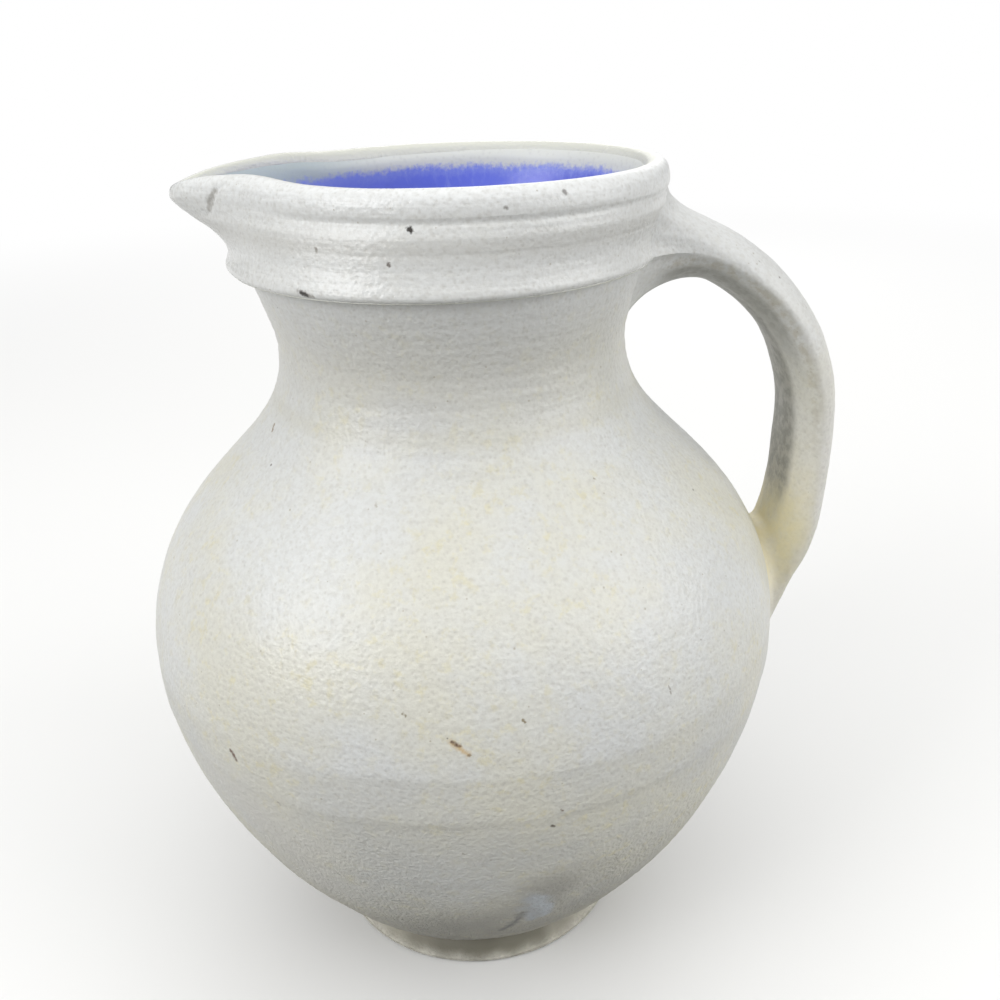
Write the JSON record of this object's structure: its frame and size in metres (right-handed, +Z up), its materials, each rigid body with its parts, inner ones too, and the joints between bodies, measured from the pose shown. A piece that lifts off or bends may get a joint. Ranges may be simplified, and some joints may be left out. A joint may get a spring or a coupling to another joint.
{
  "type": "pitcher",
  "caption": "Round-bellied stoneware pitcher with a waisted neck, a thick collar drawn out into a pouring spout, an arched strap handle, a turned foot and a glazed hollow inside.",
  "frame": {"origin": "middle of the foot, on the plane of its flat ring", "axes": "+Z up along the pot's axis, +X towards the handle, -X towards the spout, so the handle and the spout lie in the XZ plane"},
  "size_m": [0.17, 0.1568, 0.201],
  "materials": {
    "stoneware": "satin, finely pitted",
    "foot_stoneware": "matte",
    "blue_glaze": "gloss"
  },
  "bodies": {
    "root": {"foot_ring": "foot_stoneware", "base": "stoneware", "belly": "stoneware", "shoulder": "stoneware", "neck": "stoneware", "rim_collar": "stoneware", "spout": "stoneware", "strap_handle": "stoneware", "upper_joint": "stoneware", "lower_joint": "stoneware", "glaze_lining": "blue_glaze", "rim_glaze": "blue_glaze"}
  },
  "joints": []
}
